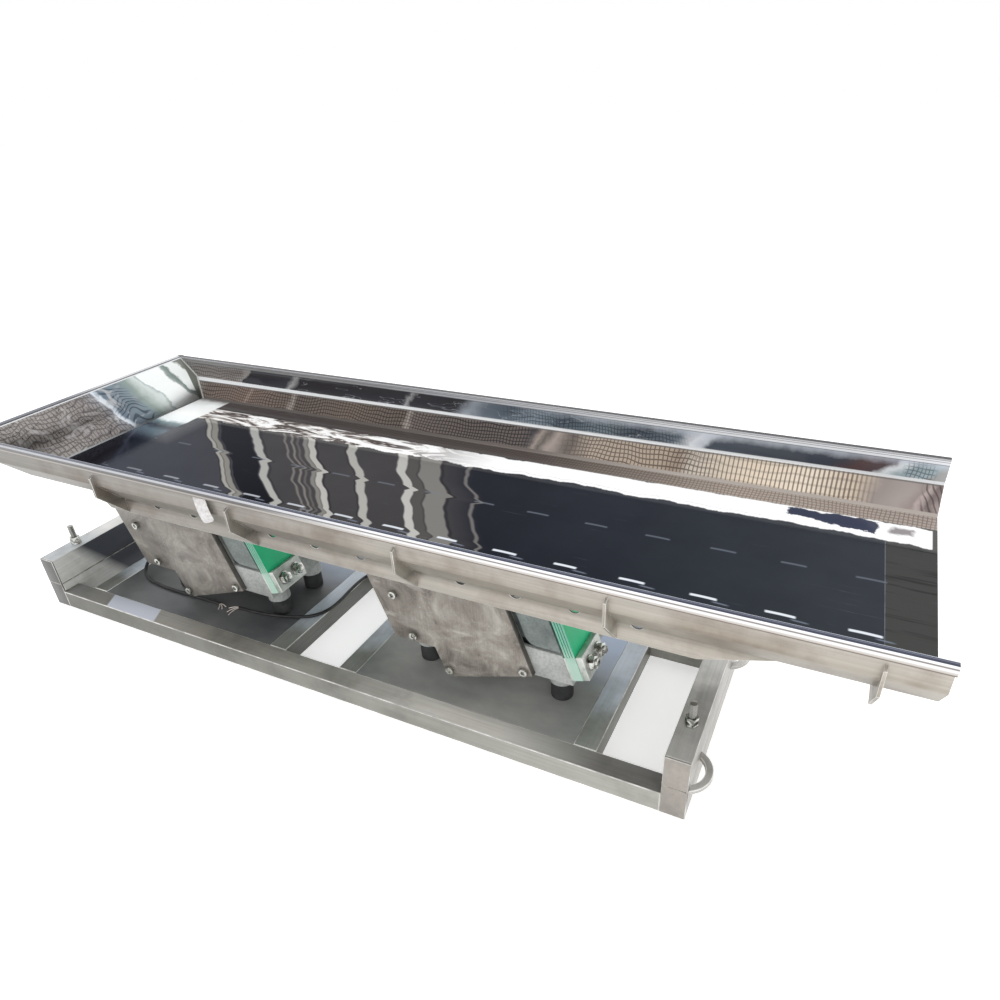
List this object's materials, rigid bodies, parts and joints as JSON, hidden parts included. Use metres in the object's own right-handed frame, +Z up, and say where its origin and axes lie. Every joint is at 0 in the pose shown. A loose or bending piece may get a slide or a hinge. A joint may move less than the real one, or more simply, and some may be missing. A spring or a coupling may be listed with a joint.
{
  "type": "linear vibratory feeder",
  "caption": "Open-ended polished trough on electromagnetic drives with slanted leaf springs, standing on rubber feet in a low welded frame of square tube.",
  "frame": {"origin": "on the ground under the middle of the whole object's box", "axes": "+X with the flow, towards the trough's open end; +Z up; the front is at -Y"},
  "size_m": [1.705, 0.53, 0.448],
  "materials": {
    "polished_sheet": "mirror polished",
    "folded_stainless": "satin",
    "brushed_stainless": "brushed",
    "plate_steel": "mill",
    "light_casting": "painted, light grey",
    "grey_casting": "milled casting",
    "cool_casting": "cast",
    "green_laminate": "glass-fibre laminate",
    "black_rubber": "matt",
    "core_steel": "laminated",
    "coil_wrap": "taped",
    "bright_fasteners": "bright",
    "black_plastic": "moulded",
    "cable_sheath": "smooth",
    "wire_insulation": "bare ends"
  },
  "bodies": {
    "base": {"lower_end_tube_left": "brushed_stainless", "lower_end_tube_right": "brushed_stainless", "upper_end_tube_left": "brushed_stainless", "upper_end_tube_right": "brushed_stainless", "tube_end_caps": "brushed_stainless", "front_rail": "brushed_stainless", "rear_rail": "brushed_stainless", "cross_bars": "brushed_stainless", "drive_plate_left": "plate_steel", "drive_plate_right": "plate_steel", "lifting_lugs": "brushed_stainless", "anchor_studs": "bright_fasteners", "anchor_nuts": "bright_fasteners", "base_casting_left": "light_casting", "rubber_feet_left": "black_rubber", "side_plate_front_left": "grey_casting", "side_plate_rear_left": "grey_casting", "side_plate_screws_left": "bright_fasteners", "magnet_core_left": "core_steel", "magnet_coil_left": "coil_wrap", "lower_clamp_bars_left": "brushed_stainless", "lower_clamp_bolts_left": "bright_fasteners", "front_springs_left": "green_laminate", "rear_springs_left": "green_laminate", "cable_gland_left": "black_plastic", "base_casting_right": "light_casting", "rubber_feet_right": "black_rubber", "side_plate_front_right": "grey_casting", "side_plate_rear_right": "grey_casting", "side_plate_screws_right": "bright_fasteners", "magnet_core_right": "core_steel", "magnet_coil_right": "coil_wrap", "lower_clamp_bars_right": "brushed_stainless", "lower_clamp_bolts_right": "bright_fasteners", "front_springs_right": "green_laminate", "rear_springs_right": "green_laminate", "cable_gland_right": "black_plastic", "cable_left": "cable_sheath", "cable_right": "cable_sheath", "wire_ends": "wire_insulation"},
    "tray": {"trough_pan": "polished_sheet", "trough_end_wall": "polished_sheet", "edge_beam_front": "folded_stainless", "edge_beam_rear": "folded_stainless", "floor_stiffeners": "folded_stainless", "cross_ribs": "folded_stainless", "wall_gussets": "folded_stainless", "outlet_rib": "folded_stainless", "drive_bracket_left": "folded_stainless", "upper_casting_left": "cool_casting", "armature_left": "core_steel", "upper_clamp_bars_left": "brushed_stainless", "upper_clamp_bolts_left": "bright_fasteners", "drive_bracket_right": "folded_stainless", "upper_casting_right": "cool_casting", "armature_right": "core_steel", "upper_clamp_bars_right": "brushed_stainless", "upper_clamp_bolts_right": "bright_fasteners"}
  },
  "joints": [
    {"name": "tray_vibration", "type": "slide", "parent": "base", "child": "tray", "axis": [0.9426, 0, 0.3338], "range_m": [-0.001, 0.001], "stiffness_N_per_m": 2000000, "deforming": ["front_springs_left", "rear_springs_left", "front_springs_right", "rear_springs_right"]}
  ]
}
